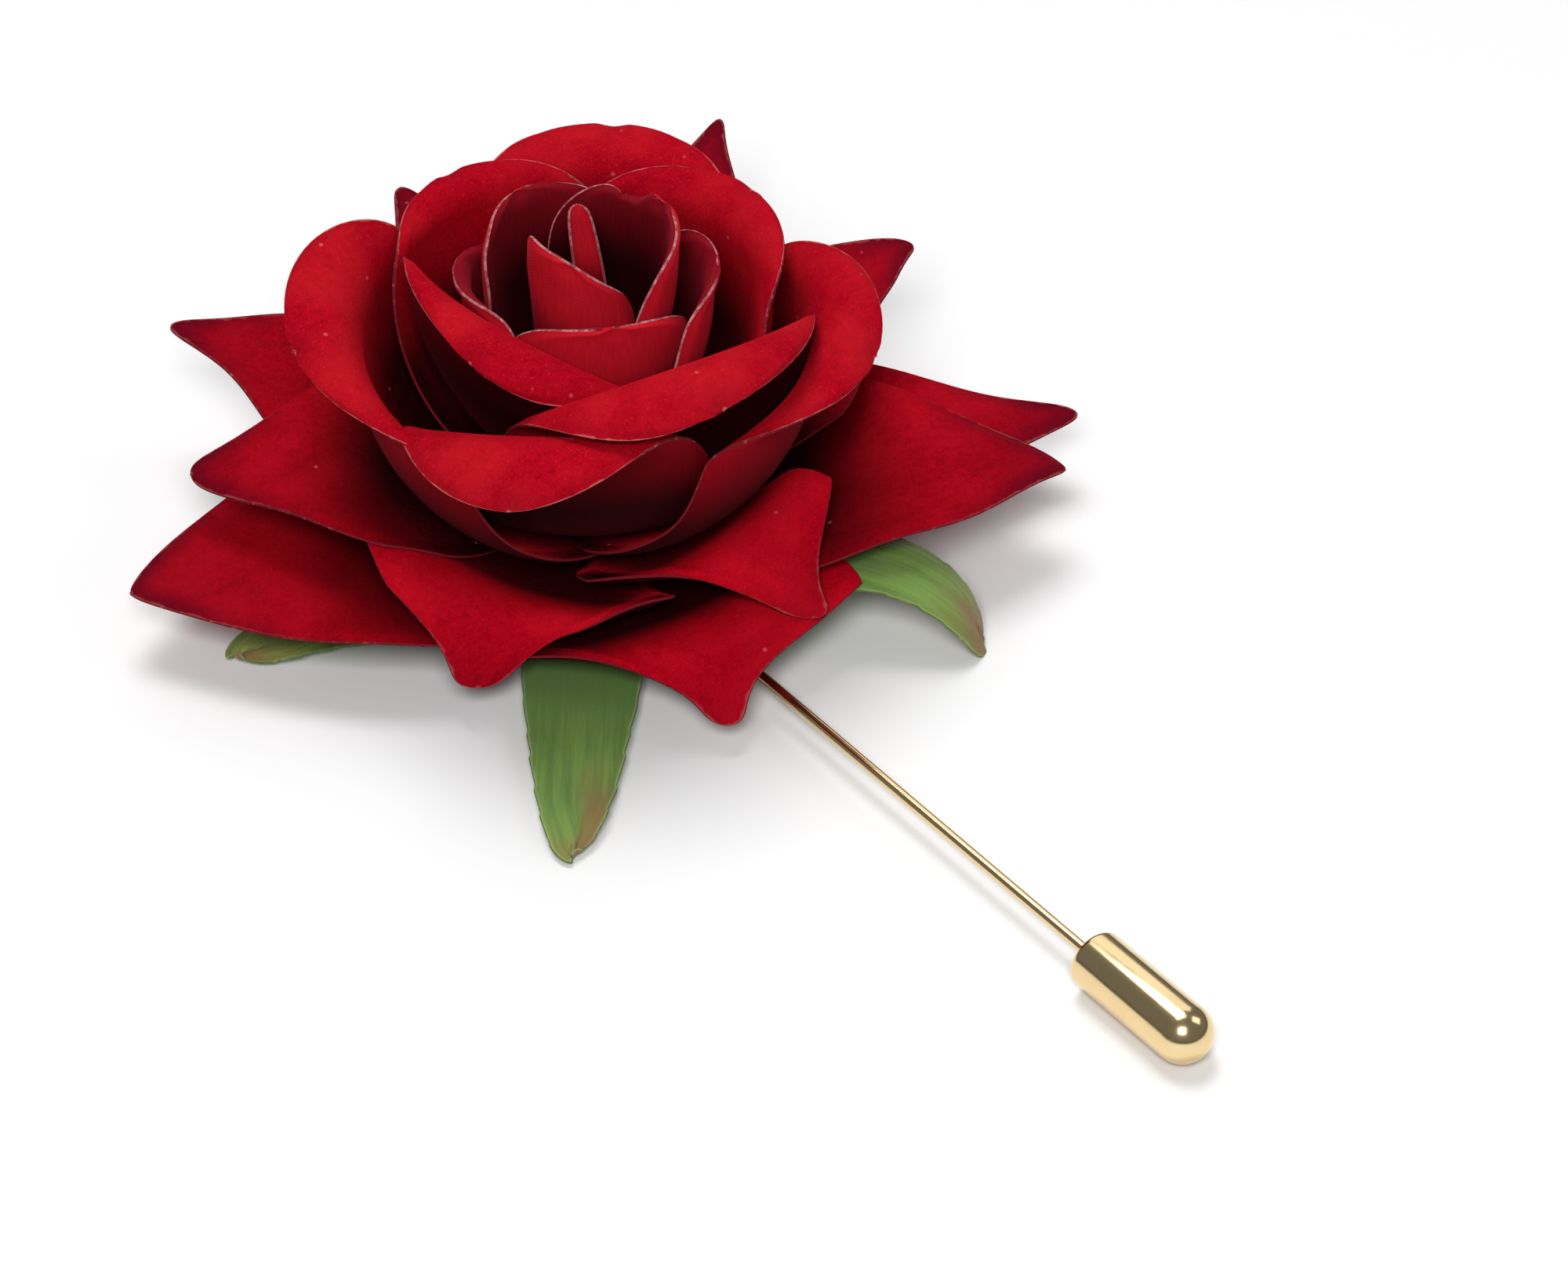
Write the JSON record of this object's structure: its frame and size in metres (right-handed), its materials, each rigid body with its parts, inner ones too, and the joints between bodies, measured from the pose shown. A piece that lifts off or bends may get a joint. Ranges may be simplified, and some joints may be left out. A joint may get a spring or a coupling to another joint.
{
  "type": "flower lapel pin",
  "caption": "Velvet rose lapel pin: cloth petals and leaves on a short stem, with a straight stick pin and a pull-off bullet cap over its point.",
  "frame": {"origin": "centre of the flat back disc, under the flower's axis", "axes": "+Z out of the flower's face along its axis; the pin runs along -Y; +X completes the frame"},
  "size_m": [0.0738, 0.1145, 0.0337],
  "materials": {
    "petal_velvet": "velvet",
    "bud_cloth": "matte",
    "leaf_cloth": "matte",
    "green_tape": "matte",
    "gold_metal": "polished"
  },
  "bodies": {
    "flower": {"stem": "green_tape", "pin": "gold_metal", "heart": "bud_cloth", "bud_petal_1": "bud_cloth", "bud_petal_2": "bud_cloth", "bud_petal_3": "bud_cloth", "bud_petal_4": "bud_cloth", "bud_petal_5": "bud_cloth", "bud_petal_6": "bud_cloth", "cup_petal_1": "petal_velvet", "cup_petal_2": "petal_velvet", "cup_petal_3": "petal_velvet", "cup_petal_4": "petal_velvet", "cup_petal_5": "petal_velvet", "cup_petal_6": "petal_velvet", "cup_petal_7": "petal_velvet", "cup_petal_8": "petal_velvet", "spread_petal_1": "petal_velvet", "spread_petal_2": "petal_velvet", "spread_petal_3": "petal_velvet", "spread_petal_4": "petal_velvet", "spread_petal_5": "petal_velvet", "spread_petal_6": "petal_velvet", "spread_petal_7": "petal_velvet", "spread_petal_8": "petal_velvet", "spread_petal_9": "petal_velvet", "spread_petal_10": "petal_velvet", "spread_petal_11": "petal_velvet", "sepal_1": "leaf_cloth", "sepal_2": "leaf_cloth", "sepal_3": "leaf_cloth", "sepal_4": "leaf_cloth", "sepal_5": "leaf_cloth"},
    "cap": {"cap": "gold_metal"}
  },
  "joints": [
    {"name": "cap_slide", "type": "slide", "parent": "flower", "child": "cap", "axis": [0, -1, 0], "range_m": [0, 0.03]}
  ]
}
